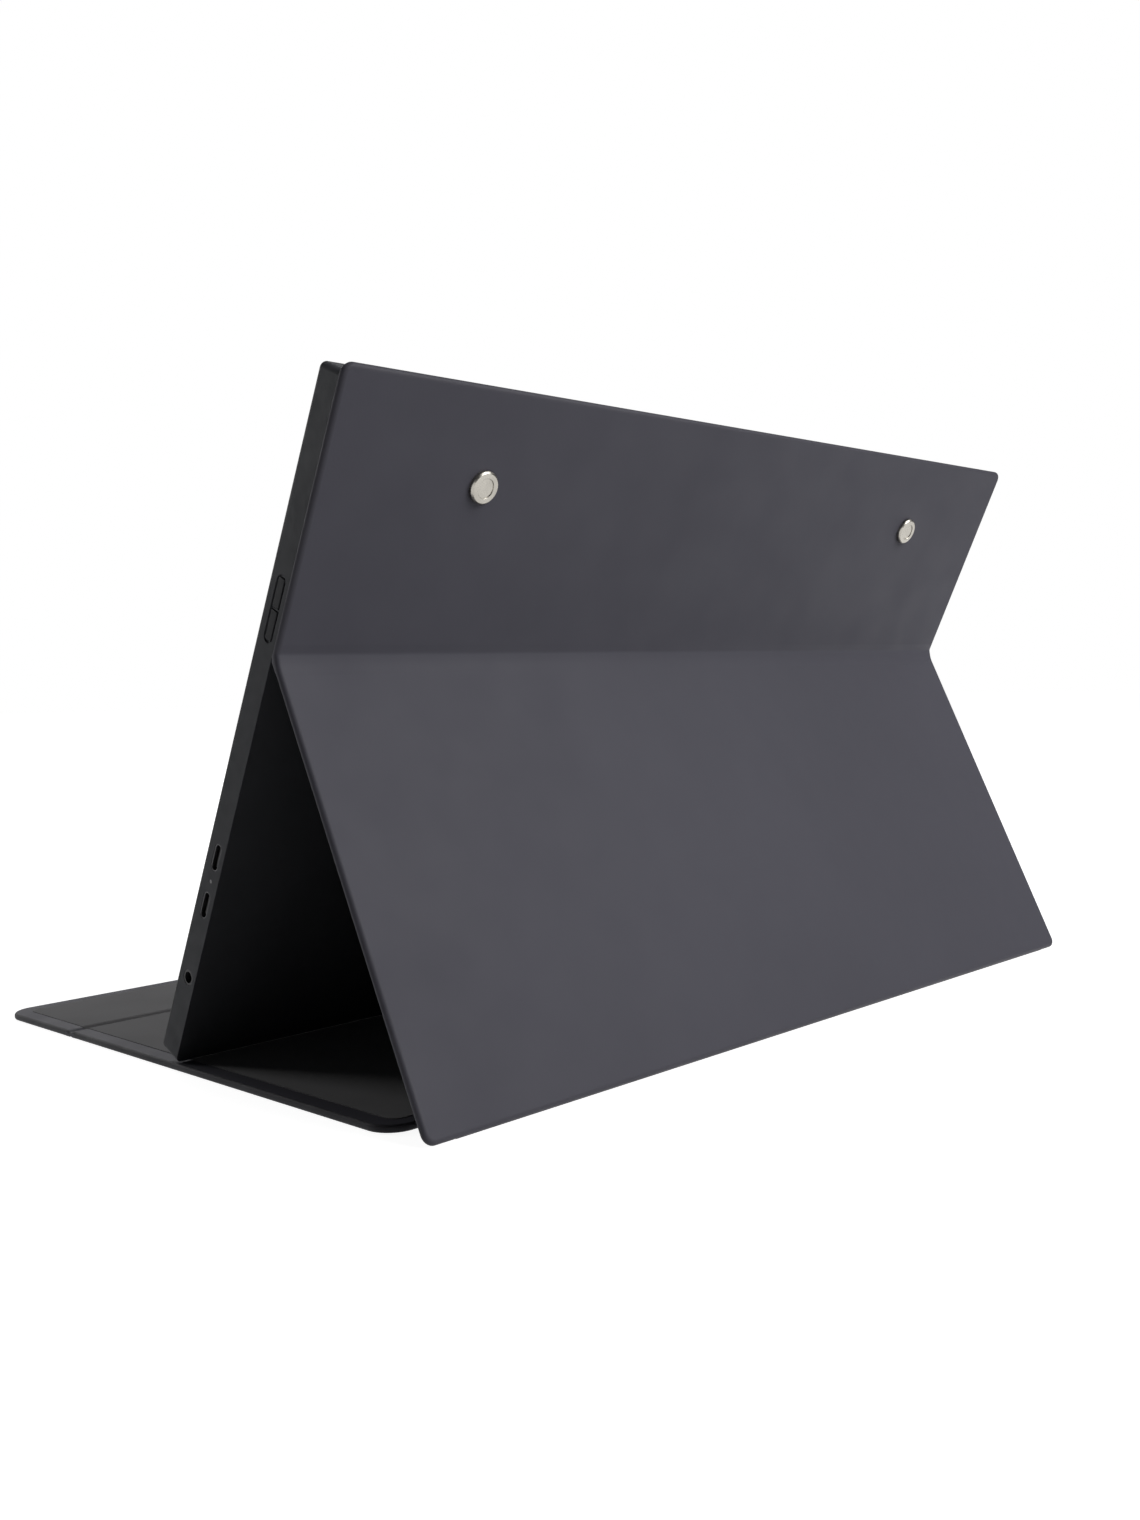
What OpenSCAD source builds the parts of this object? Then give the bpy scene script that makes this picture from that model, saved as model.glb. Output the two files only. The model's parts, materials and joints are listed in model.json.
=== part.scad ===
// Portable monitor in a folding leather cover, set up as an easel.
// Origin: on the table, below the middle of the monitor's lower rear edge.
// +X towards the side with the keys and sockets, +Y behind the screen, +Z up.

/* [Monitor body] */
// Width of the monitor
body_w = 356; // [320:1:400]
// Height of the monitor along its face
body_h = 222; // [200:1:250]
// Thickness of the monitor
body_t = 9.3; // [8.2:0.1:12]
// Radius of the monitor's corners
body_r = 2; // [1.5:0.5:8]
// Side walls and back of the rear housing
wall = 1.4; // [1.2:0.1:1.8]
// Depth of the front bezel at its rim
bezel_t = 1.4; // [1.2:0.1:2]
// Thickness of the lip that holds the picture edge
lip_t = 0.6; // [0.4:0.1:0.8]

/* [Screen] */
// Bezel beside the picture
side_margin = 6; // [5:0.5:12]
// Bezel above the picture
top_margin = 6.2; // [5:0.1:10]
// Bezel below the picture, in front of the boards and speakers
chin_h = 22.2; // [18:0.2:30]
// How far the cell reaches past the picture on three sides
cell_edge = 2.2; // [1.5:0.1:3]
// Thickness of the picture cell
cell_t = 0.9; // [0.7:0.1:1]
// Thickness of the optical films together
films_t = 0.4; // [0.2:0.1:0.5]
// Thickness of the light guide
guide_t = 0.6; // [0.4:0.1:0.7]
// Thickness of the reflector sheet
reflector_t = 0.2; // [0.1:0.1:0.3]
// Thickness of the tray's metal
tray_t = 0.3; // [0.2:0.1:0.4]

/* [Cover] */
// How far the cover reaches past the monitor on each side
cover_side = 0.5; // [0.5:0.5:3]
// How far the cover reaches past the monitor's upper edge
cover_top = 2.6; // [0:0.2:4]
// Leather-like outer skin
skin_t = 0.5; // [0.3:0.1:0.7]
// Stiff board inside each panel
board_t = 1.2; // [0.8:0.1:1.6]
// Soft inner lining
lining_t = 0.5; // [0.3:0.1:0.7]
// Width of the skin turned over round the lining
hem_w = 6; // [4:0.5:9]
// Skin around the edge of a board
edge_w = 0.8; // [0.5:0.1:1.2]
// Corner radius of the upper panel and of the leg's lower end
panel_r = 3.5; // [2:0.5:8]
// Corner radius of the flap
flap_r = 9; // [5:0.5:15]
// Height of the fold above the monitor's lower edge
fold_h = 139.2; // [120:0.2:150]
// Length of the flap in front of its crease
flap_front_len = 48; // [35:1:60]
// Play of the spine strip around the monitor's lower edge
spine_slack = 1.8; // [0.5:0.1:4]
// How far the spine strip stops short of each side
spine_inset = 11; // [8:1:20]

/* [Stand] */
// Lean of the screen from upright
tilt = 25; // [18:0.5:32]

/* [Studs] */
// Distance between the two studs
stud_spacing = 238; // [180:1:270]
// Distance of the studs below the upper edge
stud_drop = 27; // [20:1:40]
// Diameter of a stud's head
stud_head_d = 10.5; // [8:0.5:13]
// Thickness of a stud's head
stud_head_t = 1.6; // [1:0.1:2.2]
// Slope at the edge of a stud's head
stud_bevel = 0.6; // [0.3:0.1:1]
// Rim round the dimple in a stud's head
stud_rim = 2.2; // [1.5:0.1:3]
// Diameter of a stud's threaded shank
stud_shank_d = 4; // [3:0.5:5]

/* [Keys] */
// Height of the power key's centre above the lower edge
power_h = 157.2; // [140:0.2:175]
// Length of a key
key_len = 9; // [7:0.5:10]
// Width of a key
key_w = 3; // [2.4:0.1:3.4]
// Land between the two keys
key_land = 0.8; // [0.6:0.1:1.5]
// Travel of the power key
key_travel = 0.35; // [0.2:0.05:0.4]
// Depth of the dish in which the keys sit
dish_depth = 0.4; // [0.2:0.1:0.5]

/* [Sockets] */
// Height of the upper socket's centre above the lower edge
usb_high_h = 72; // [68:0.5:90]
// Height of the lower socket's centre
usb_low_h = 55.5; // [44:0.5:57]
// Height of the audio jack's axis
jack_h = 29.4; // [26:0.2:36]
// Length of a socket's mouth
usb_len = 8.4; // [8.4:0.1:9.2]
// Width of a socket's mouth
usb_w = 2.8; // [2.8:0.1:3.3]
// Depth of a socket
usb_depth = 7.5; // [6.5:0.5:9]
// Bore of the audio jack
jack_d = 3.6; // [3.5:0.1:3.7]
// Outside of the jack's nose
jack_nose_d = 5; // [4.6:0.1:5.2]
// Depth of the audio jack
jack_depth = 13; // [11:0.5:16]
// Diameter of the status light
light_d = 1.2; // [0.8:0.1:1.6]

/* [Inner pieces] */
// Length of the main board across the monitor
board_len = 76; // [65:1:85]
// How far the main board reaches past the highest and lowest socket
board_past = 9.5; // [8:0.5:12]
// Length of the timing board in the chin
timing_w = 190; // [150:5:195]
// Height of the timing board
timing_h = 8; // [6:0.5:9]
// Width of a film from the picture cell to the timing board
flex_w = 36; // [20:1:45]
// Distance between two of those films
flex_pitch = 60; // [50:1:70]
// Length of a speaker
speaker_w = 38; // [25:1:45]
// Depth of a speaker
speaker_t = 3.6; // [2.5:0.1:3.8]
// Distance of a speaker's middle from the monitor's side
speaker_in = 30; // [25:1:34]
// Diameter of a magnet
magnet_d = 8; // [6:0.5:10]
// Distance of a magnet from the monitor's side
magnet_in = 100; // [95:1:125]
// Height of the magnets above the lower edge
magnet_h = 34; // [30:1:60]

/* [Hidden] */

$fn = 48;
// Play where a piece sits in another
fit = 0.05;
// Air between pieces that move past each other
seat_gap = 0.3;
// Air between the monitor's back and the cover
cover_lift = 0.2;
// Overshoot of a cutting shape
over = 1;

// Cover: width, thickness, rolls at the folds, panel ends beside a roll
cover_w = body_w + 2 * cover_side;
cover_t = skin_t + board_t + lining_t;
roll_r = cover_t / 2;
panel_end = roll_r + seat_gap;

// Stand: the monitor's edge stands on the flap, and the leg's lower hinge,
// the heel, lies on the table. Shut, the spine then just passes under the edge.
foot_z = cover_t + seat_gap;
leg_len = fold_h + seat_gap + cover_t / 2;
mid_y = cover_lift + cover_t / 2;
fold_y = mid_y * cos(tilt) + fold_h * sin(tilt);
fold_z = foot_z - mid_y * sin(tilt) + fold_h * cos(tilt);
leg_lean = acos((fold_z - roll_r) / leg_len);
heel_y = fold_y + leg_len * sin(leg_lean);
spine_w = body_t + cover_lift + seat_gap + cover_t + spine_slack;
spine_len = cover_w - 2 * spine_inset;
flap_y = heel_y - spine_w;
// The flap is as long as the monitor is high, because it covers the screen
flap_rear_len = body_h - flap_front_len;
crease_y = flap_y - flap_rear_len;
front_edge_y = crease_y - flap_front_len;

// Screen stack, from the back of the lip towards the back
cell_y = -body_t + lip_t;
films_y = cell_y + cell_t;
guide_y = films_y + films_t;
reflector_y = guide_y + guide_t;
tray_y = reflector_y + reflector_t;
stack_end_y = tray_y + tray_t;
view_w = body_w - 2 * side_margin;
view_top = body_h - top_margin;
view_low = chin_h;
cell_w = view_w + 2 * cell_edge;
cell_top = view_top + cell_edge;
cell_low = view_low - 2 * cell_edge;
tray_rim = 0.4;
module_w = cell_w + 2 * (fit + tray_rim);
module_top = cell_top + fit + tray_rim;
module_low = cell_low - fit - tray_rim;
bar_h = 2.4;
bar_t = guide_t - fit;
bar_in = 2;

// Space behind the screen, and the line of keys and sockets in its middle
side_x = body_w / 2;
wall_x = side_x - wall;
port_y = (stack_end_y - wall) / 2;

// Boards
pcb_t = 0.8;
board_x1 = wall_x - 3;
board_x0 = board_x1 - board_len;
board_low = jack_h - board_past;
board_top = usb_high_h + board_past;
board_y = port_y - pcb_t / 2;
screw_r = 1;
screw_head_r = 1.8;
screw_head_t = 0.6;
screw_play = 0.1;
screw_bite = 0.2;
screw_in = 4;
boss_r = 2.4;
tight = 0.02;
chip_t = 0.9;
chip_big = 14;
chip_small = 9;
chip_gap = 9;

// Sockets: metal shell round the mouth, edge set back from the side's face
shell_t = 0.3;
mouth_in = 0.1;
tongue_t = 0.7;
tongue_len = usb_len - usb_w + 0.9;
jack_wall = 1;
jack_body_h = jack_nose_d + 0.6;
light_h = (usb_high_h + usb_low_h) / 2;

// Keys
rocker_h = power_h - key_len - key_land;
dish_side = 0.7;
dish_w = key_w + 2 * dish_side;
dish_end = 0.9;
flange = 0.5;
flange_t = 0.7;
flange_gap = 0.2;
key_gap = 0.15;
key_proud = 0.35;
plunger_gap = 0.1;
key_back_x = wall_x - flange_gap - flange_t;
switch_t = 1.6;
switch_w = 2.6;
switch_h = 2.4;
switch_in = 1.5;
key_board_x = key_back_x - key_travel - plunger_gap - switch_t - pcb_t;
key_board_past = 3;
key_board_low = rocker_h - key_len / 2 - key_board_past;

// Cables
cable_t = 0.3;
cable_w = 4;
ribbon_h = 6;
ribbon_w = 10;
ribbon_in = 16;
film_t = 0.15;
wire_r = 0.4;
wire_pitch = 1.2;

// Chin below the screen module
chin_mid = (wall + module_low) / 2;
speaker_low = wall + 0.3;
speaker_h = module_low - wall - 2;
speaker_x = side_x - speaker_in;
speaker_y = -body_t + bezel_t + 0.4;
tray_screw_gap = 20;
tray_screw_x = board_x0 - tray_screw_gap;
grille_pitch = 4.5;
grille_len = 3;
grille_w = 1;

// Studs
stud_y = cover_lift + cover_t;
stud_h = body_h - stud_drop;
stud_hole_r = stud_shank_d / 2 + 0.2;
stud_dimple = 0.3;
eyelet_r = stud_shank_d / 2 + 1.4;
insert_r = stud_shank_d / 2 + 1;
insert_boss_r = insert_r + 1.2;
insert_len = min(2.4, -stack_end_y - wall - 0.4);
shank_reach = insert_len - 0.3;

// Magnets
magnet_r = magnet_d / 2;
magnet_t = 1;
magnet_x = side_x - magnet_in;
cover_magnet_t = board_t - 0.3;

leather = [0.27, 0.27, 0.30];
felt = [0.34, 0.34, 0.35];
black = [0.16, 0.17, 0.18];
green = [0.07, 0.30, 0.16];
metal = [0.75, 0.74, 0.70];

module in_monitor() {
  translate([0, 0, foot_z]) rotate([-tilt, 0, 0]) children();
}

module in_leg() {
  translate([0, fold_y, fold_z]) rotate([leg_lean, 0, 0]) children();
}

// Block in the monitor: centred on x, from y0 to y1 in depth, z0 to z1 up its face
module block(x, w, y0, y1, z0, z1) {
  translate([x - w / 2, y0, z0]) cube([w, y1 - y0, z1 - z0]);
}

// A rod along a direction of the monitor
module rod_y(x, z, r, y0, y1) {
  translate([x, y0, z]) rotate([-90, 0, 0]) cylinder(r = r, h = y1 - y0);
}

module rod_x(y, z, r, x0, x1) {
  translate([x0, y, z]) rotate([0, 90, 0]) cylinder(r = r, h = x1 - x0);
}

// Flat outline between y0 and y1, with its own corner radius at each end
module outline(w, y0, y1, r0, r1) {
  difference() {
    translate([-w / 2, y0]) square([w, y1 - y0]);
    for (side = [-1, 1]) {
      if (r0 > 0) corner_cut(side * w / 2, y0, -side, 1, r0);
      if (r1 > 0) corner_cut(side * w / 2, y1, -side, -1, r1);
    }
  }
}

// What rounding takes off a corner at x, y whose sides run along sx and sy
module corner_cut(x, y, sx, sy, r) {
  difference() {
    translate([x + sx * (r - over) / 2, y + sy * (r - over) / 2])
      square(r + over, center = true);
    translate([x + sx * r, y + sy * r]) circle(r);
  }
}

// Rounded slab standing in the monitor, from y0 to y1 in depth
module slab(w, y0, y1, z0, z1, r) {
  translate([0, y1, 0]) rotate([90, 0, 0])
    linear_extrude(y1 - y0) outline(w, z0, z1, r, r);
}

// Socket outline with round ends, long way up the monitor's side
module socket_shape(len, w, x0, x1, h) {
  for (end = [-1, 1])
    rod_x(port_y, h + end * (len - w) / 2, w / 2, x0, x1);
  translate([x0, port_y - w / 2, h - (len - w) / 2])
    cube([x1 - x0, w, len - w]);
}

// Cover panels lie with the skin down and the lining up, between y0 and y1.
// An end beside a roll is half round; a free end has round corners.
module panel_body(w, y0, y1, r0, r1, roll0, roll1) {
  linear_extrude(cover_t)
    outline(w, y0 + (roll0 ? roll_r : 0), y1 - (roll1 ? roll_r : 0), r0, r1);
  if (roll0) rod_x(y0 + roll_r, roll_r, roll_r, -w / 2, w / 2, $fn = 32);
  if (roll1) rod_x(y1 - roll_r, roll_r, roll_r, -w / 2, w / 2, $fn = 32);
}

module board_pocket(w, y0, y1, r0, r1, roll0, roll1) {
  translate([0, 0, skin_t]) linear_extrude(board_t)
    board_outline(w, y0, y1, r0, r1, roll0, roll1, 0);
}

module panel_skin(w, y0, y1, r0, r1, roll0, roll1) {
  difference() {
    panel_body(w, y0, y1, r0, r1, roll0, roll1);
    board_pocket(w, y0, y1, r0, r1, roll0, roll1);
    translate([0, 0, skin_t + board_t]) linear_extrude(lining_t + over)
      lining_outline(w, y0, y1, r0, r1, 0);
  }
}

module board_outline(w, y0, y1, r0, r1, roll0, roll1, play) {
  inset0 = (roll0 ? roll_r : edge_w) + play;
  inset1 = (roll1 ? roll_r : edge_w) + play;
  outline(w - 2 * (edge_w + play), y0 + inset0, y1 - inset1,
    max(0, r0 - edge_w), max(0, r1 - edge_w));
}

module lining_outline(w, y0, y1, r0, r1, play) {
  inset = hem_w + play;
  outline(w - 2 * inset, y0 + inset, y1 - inset, max(0, r0 - hem_w), max(0, r1 - hem_w));
}

module panel_board(w, y0, y1, r0, r1, roll0, roll1) {
  translate([0, 0, skin_t]) linear_extrude(board_t)
    board_outline(w, y0, y1, r0, r1, roll0, roll1, fit);
}

module panel_lining(w, y0, y1, r0, r1) {
  translate([0, 0, skin_t + board_t]) linear_extrude(lining_t)
    lining_outline(w, y0, y1, r0, r1, fit);
}

module roll(len, y) {
  rod_x(y, roll_r, roll_r, -len / 2, len / 2, $fn = 32);
}

// Places of the flat panels: the upper panel and the leg stand on edge
module on_back() {
  in_monitor() translate([0, cover_lift + cover_t, 0]) rotate([90, 0, 0]) children();
}

module on_leg() {
  in_leg() translate([0, cover_t / 2, 0]) rotate([90, 0, 0]) children();
}

upper_low = fold_h + panel_end;
upper_high = body_h + cover_top;
leg_low = -leg_len + panel_end;

module at_studs() {
  for (side = [-1, 1]) translate([side * stud_spacing / 2, 0, 0]) children();
}

// Monitor

module rear_housing() {
  color(black) in_monitor() {
    difference() {
      slab(body_w, -body_t + bezel_t, 0, 0, body_h, body_r);
      slab(body_w - 2 * wall, -body_t, -wall, wall, body_h - wall, body_r - wall);
      translate([side_x, port_y, rocker_h - key_len / 2 - dish_end])
        key_dish(2 * key_len + key_land + 2 * dish_end);
      for (h = [power_h, rocker_h])
        key_slot(h);
      for (h = [usb_high_h, usb_low_h])
        socket_shape(usb_len + 2 * (shell_t + fit), usb_w + 2 * (shell_t + fit), wall_x - over,
          side_x + over, h);
      rod_x(port_y, jack_h, jack_nose_d / 2 + fit, wall_x - over, side_x + over);
      rod_x(port_y, light_h, light_d / 2 + fit, wall_x - over, side_x + over);
      for (side = [-1, 1]) speaker_grille(side * speaker_x);
      at_studs() rod_y(0, stud_h, stud_hole_r, -wall - over, over);
    }
    at_studs() difference() {
      rod_y(0, stud_h, insert_boss_r, -wall - insert_len, -wall);
      rod_y(0, stud_h, insert_r + tight, -wall - insert_len - over, -wall);
    }
    for (spot = board_spots())
      difference() {
        rod_y(spot[0], spot[1], boss_r, board_y + pcb_t, -wall);
        rod_y(spot[0], spot[1], screw_r + tight, board_y, -wall);
      }
    for (side = [-1, 1], z = tray_screw_h())
      tray_boss(side * tray_screw_x, z);
  }
}

// Shallow dish with round ends, cut from the side's face
module key_dish(len) {
  difference() {
    translate([-dish_depth, -dish_w / 2, 0]) cube([dish_depth + over, dish_w, len]);
    for (end = [0, 1]) translate([-dish_depth, 0, end * len])
      rotate([0, 90, 0]) dish_end_fill(end);
  }
}

// What a round end leaves standing at an end of the dish
module dish_end_fill(end) {
  turn = end == 1 ? 0 : 180;
  rotate([0, 0, turn]) difference() {
    translate([0, -dish_w / 2, 0]) cube([dish_w / 2, dish_w, dish_depth]);
    translate([dish_w / 2, 0, -over]) cylinder(d = dish_w, h = dish_depth + 2 * over);
  }
}

module key_slot(h) {
  translate([wall_x - over, port_y - key_w / 2 - key_gap, h - key_len / 2 - key_gap])
    cube([wall + 2 * over, key_w + 2 * key_gap, key_len + 2 * key_gap]);
}

module speaker_grille(x) {
  slot_y = speaker_y + speaker_t / 2 - grille_w / 2;
  for (i = [-3:3])
    block(x + i * grille_pitch, grille_len, slot_y, slot_y + grille_w, -over, wall + over);
}

function board_spots() = [
  for (x = [board_x0 + screw_in, board_x1 - jack_depth - 2 * boss_r],
    z = [board_low + screw_in, board_top - screw_in]) [x, z]
];

function tray_screw_h() = [module_low + screw_in, module_top - screw_in];

// Post that carries the screen tray, with its screw hole
module tray_boss(x, z) {
  difference() {
    rod_y(x, z, boss_r, stack_end_y, -wall);
    rod_y(x, z, screw_r + tight, stack_end_y - over, -wall);
  }
}

module front_bezel() {
  color(black) in_monitor() difference() {
    slab(body_w, -body_t, -body_t + bezel_t, 0, body_h, body_r);
    slab(view_w, -body_t - over, over, view_low, view_top, 0);
    slab(module_w + 2 * fit, cell_y, over, module_low - fit, module_top + fit, 0);
  }
}

module lcd_cell() {
  color([0.05, 0.05, 0.06]) in_monitor()
    block(0, cell_w, cell_y, cell_y + cell_t, cell_low, cell_top);
}

module optical_films() {
  color([0.9, 0.9, 0.92]) in_monitor()
    block(0, cell_w, films_y, films_y + films_t, cell_low, cell_top);
}

module light_guide() {
  color([0.85, 0.9, 0.92]) in_monitor()
    block(0, cell_w, guide_y, guide_y + guide_t, cell_low + bar_h + fit, cell_top);
}

module led_bar() {
  color([0.95, 0.9, 0.6]) in_monitor() {
    block(0, cell_w - 2 * bar_in, guide_y, guide_y + bar_t, cell_low, cell_low + bar_h);
  }
}

module reflector_sheet() {
  color("white") in_monitor()
    block(0, cell_w, reflector_y, reflector_y + reflector_t, cell_low, cell_top);
}

module panel_tray() {
  color([0.62, 0.64, 0.66]) in_monitor() difference() {
    block(0, module_w, cell_y + cell_t / 2, stack_end_y, module_low, module_top);
    block(0, cell_w + 2 * fit, cell_y - over, tray_y, cell_low - fit, cell_top + fit);
    for (side = [-1, 1], z = tray_screw_h())
      rod_y(side * tray_screw_x, z, screw_r + screw_play, tray_y - over, stack_end_y + over);
  }
}

module tray_screws() {
  color(metal) in_monitor()
    for (side = [-1, 1], z = tray_screw_h())
      rod_y(side * tray_screw_x, z, screw_r, tray_y, -wall - screw_bite);
}

module timing_board() {
  color(green) in_monitor()
    block(0, timing_w, board_y, board_y + pcb_t, chin_mid - timing_h / 2,
      chin_mid + timing_h / 2);
}

// Films that leave the tray's lower edge and turn down onto the timing board
module panel_flex() {
  film_z = module_low - 2 * fit;
  color([0.75, 0.5, 0.2]) in_monitor()
    for (i = [-1, 0, 1]) {
      block(i * flex_pitch, flex_w, -body_t + bezel_t + 2 * fit, board_y, film_z - film_t, film_z);
      block(i * flex_pitch, flex_w, board_y - film_t, board_y, chin_mid, film_z);
    }
}

// Ribbon from the timing board to the main board
module display_cable() {
  start_x = timing_w / 2 - ribbon_in;
  end_x = board_x0 + ribbon_in;
  top = chin_mid + ribbon_h / 2;
  color([0.85, 0.85, 0.8]) in_monitor() {
    block((start_x + end_x) / 2, end_x - start_x, board_y - cable_t, board_y, top - ribbon_h, top);
    block(end_x - ribbon_w / 2, ribbon_w, board_y - cable_t, board_y, top,
      board_low + 2 * screw_in);
  }
}

module main_board() {
  color(green) in_monitor() difference() {
    block((board_x0 + board_x1) / 2, board_x1 - board_x0, board_y, board_y + pcb_t, board_low,
      board_top);
    for (h = [usb_high_h, usb_low_h])
      block(side_x, 2 * (usb_depth + fit), -body_t, 0, h - usb_len / 2 - shell_t - fit,
        h + usb_len / 2 + shell_t + fit);
    block(side_x, 2 * (jack_depth + jack_wall + fit), -body_t, 0, jack_h - jack_body_h / 2 - fit,
      jack_h + jack_body_h / 2 + fit);
    for (spot = board_spots())
      rod_y(spot[0], spot[1], screw_r + screw_play, -body_t, 0);
  }
}

module board_screws() {
  color(metal) in_monitor() for (spot = board_spots()) {
    rod_y(spot[0], spot[1], screw_head_r, board_y - screw_head_t, board_y);
    rod_y(spot[0], spot[1], screw_r, board_y, -wall - screw_bite);
  }
}

module board_chips() {
  mid_h = (board_low + board_top) / 2;
  color([0.1, 0.1, 0.11]) in_monitor() {
    chip(board_len * 0.32, chip_big, mid_h);
    for (side = [-1, 1]) chip(board_len * 0.58, chip_small, mid_h + side * chip_gap);
  }
}

// Square chip on the board's back, x along from the board's inner end
module chip(x, w, h) {
  chip_y = board_y + pcb_t;
  block(board_x0 + x, w, chip_y, chip_y + chip_t, h - w / 2, h + w / 2);
}

// Metal tube with a closed back, whose mouth is flush with the monitor's side
module usb_socket(h) {
  difference() {
    socket_shape(usb_len + 2 * shell_t, usb_w + 2 * shell_t, side_x - usb_depth,
      side_x - mouth_in, h);
    socket_shape(usb_len, usb_w, side_x - usb_depth + jack_wall, side_x + over, h);
  }
}

module usb_socket_high() {
  color(metal) in_monitor() usb_socket(usb_high_h);
}

module usb_socket_low() {
  color(metal) in_monitor() usb_socket(usb_low_h);
}

module usb_tongues() {
  color([0.08, 0.08, 0.09]) in_monitor() for (h = [usb_high_h, usb_low_h])
    translate([side_x - usb_depth + jack_wall, port_y - tongue_t / 2, h - tongue_len / 2])
      cube([usb_depth - 2 * jack_wall, tongue_t, tongue_len]);
}

module audio_jack() {
  body_d = min(jack_body_h, -stack_end_y - wall - 4 * fit);
  color([0.12, 0.12, 0.13]) in_monitor() difference() {
    union() {
      rod_x(port_y, jack_h, jack_nose_d / 2, wall_x - over, side_x - mouth_in);
      translate([side_x - jack_depth - jack_wall, port_y - body_d / 2, jack_h - jack_body_h / 2])
        cube([jack_depth + jack_wall - wall - fit, body_d, jack_body_h]);
    }
    rod_x(port_y, jack_h, jack_d / 2, side_x - jack_depth, side_x + over);
  }
}

// Clear rod that brings the light through the side wall
module status_light() {
  color([0.9, 0.95, 1.0]) in_monitor()
    rod_x(port_y, light_h, light_d / 2, board_x1, side_x - fit);
}

module key_board() {
  color(green) in_monitor() translate([key_board_x, stack_end_y + seat_gap, key_board_low])
    cube([pcb_t, -stack_end_y - seat_gap - wall,
      power_h + key_len / 2 + key_board_past - key_board_low]);
}

// One switch behind the power key, one behind each end of the rocker
module key_switches() {
  color(metal) in_monitor()
    for (h = [power_h, rocker_h - key_len / 2 + switch_in, rocker_h + key_len / 2 - switch_in])
      translate([key_board_x + pcb_t, port_y - switch_w / 2, h - switch_h / 2])
        cube([switch_t, switch_w, switch_h]);
}

// Flat cable from the key board down to the main board
module key_cable() {
  cable_x = key_board_x - 1.25 * cable_w;
  low = board_top - screw_in;
  top = key_board_low + cable_w;
  color([0.9, 0.9, 0.88]) in_monitor() {
    translate([cable_x, board_y - cable_t, low]) cube([cable_w, cable_t, top - low]);
    translate([cable_x, board_y - cable_t, key_board_low])
      cube([key_board_x - cable_x, cable_t, cable_w]);
  }
}

module speaker(x) {
  color([0.14, 0.14, 0.15]) in_monitor()
    block(x, speaker_w, speaker_y, speaker_y + speaker_t, speaker_low, speaker_low + speaker_h);
}

module speaker_left() {
  speaker(speaker_x);
}

module speaker_right() {
  speaker(-speaker_x);
}

// Wire pairs from the speakers to the main board
module speaker_wires() {
  color("firebrick") in_monitor() {
    wire_pair(-speaker_x, board_x0 + boss_r + 2 * screw_in);
    wire_pair(speaker_x, speaker_x - speaker_w / 4);
  }
}

module wire_pair(start_x, end_x) {
  z = speaker_low + speaker_h / 2;
  y = -wall - wire_r - 2 * fit;
  for (off = [-wire_pitch / 2, wire_pitch / 2]) {
    rod_y(start_x, z + off, wire_r, speaker_y + speaker_t, y, $fn = 16);
    rod_x(y, z + off, wire_r, min(start_x, end_x), max(start_x, end_x), $fn = 16);
    translate([end_x + off, y, z])
      cylinder(r = wire_r, h = board_low + screw_in - z, $fn = 16);
  }
}

// Discs let into the back that hold the leg when it is folded shut
module housing_magnets() {
  color(metal) in_monitor() for (side = [-1, 1])
    rod_y(side * magnet_x, magnet_h, magnet_r, -wall - magnet_t, -wall);
}

module stud_inserts() {
  color([0.72, 0.6, 0.3]) in_monitor() at_studs() difference() {
    rod_y(0, stud_h, insert_r, -wall - insert_len, -wall);
    rod_y(0, stud_h, stud_shank_d / 2 + tight, -wall - insert_len - over, -wall + over);
  }
}

// Flat round head, a shallow dimple and a shank into the insert
module cover_studs() {
  color(metal) in_monitor() at_studs() difference() {
    union() {
      rod_y(0, stud_h, stud_head_d / 2, stud_y, stud_y + stud_head_t * 0.6);
      translate([0, stud_y + stud_head_t * 0.6, stud_h]) rotate([-90, 0, 0])
        cylinder(r1 = stud_head_d / 2, r2 = stud_head_d / 2 - stud_bevel, h = stud_head_t * 0.4);
      rod_y(0, stud_h, stud_shank_d / 2, -wall - shank_reach, stud_y);
    }
    rod_y(0, stud_h, stud_head_d / 2 - stud_rim, stud_y + stud_head_t - stud_dimple,
      stud_y + stud_head_t + over);
  }
}

module cover_eyelets() {
  color(metal) in_monitor() at_studs() difference() {
    rod_y(0, stud_h, eyelet_r, cover_lift, stud_y);
    rod_y(0, stud_h, stud_hole_r, -over, stud_y + over);
  }
}

// Cover: upper panel on the monitor's back

module upper_holes() {
  difference() {
    children();
    at_studs() translate([0, stud_h, -over]) cylinder(r = eyelet_r + tight, h = cover_t + 2 * over);
  }
}

module upper_skin() {
  color(leather) on_back() upper_holes()
    panel_skin(cover_w, upper_low, upper_high, 0, panel_r, true, false);
}

module upper_board() {
  color([0.5, 0.45, 0.38]) on_back() upper_holes()
    panel_board(cover_w, upper_low, upper_high, 0, panel_r, true, false);
}

module upper_lining() {
  color(felt) on_back() upper_holes()
    panel_lining(cover_w, upper_low, upper_high, 0, panel_r);
}

// Keys

module power_key() {
  color(black) in_monitor() key_shape(power_h);
}

module menu_rocker() {
  color(black) in_monitor() key_shape(rocker_h);
}

// Cap through the wall, and a flange behind it that holds it in
module key_shape(h) {
  translate([key_back_x, port_y - key_w / 2, h - key_len / 2])
    cube([side_x - dish_depth + key_proud - key_back_x, key_w, key_len]);
  translate([key_back_x, port_y - key_w / 2 - flange, h - key_len / 2])
    cube([flange_t, key_w + 2 * flange, key_len]);
}

// Cover: the leg

module fold_roll() {
  color(leather) on_leg() roll(cover_w, 0);
}

module leg_skin() {
  color(leather) on_leg()
    panel_skin(cover_w, leg_low, -panel_end, panel_r, 0, false, true);
}

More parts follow.
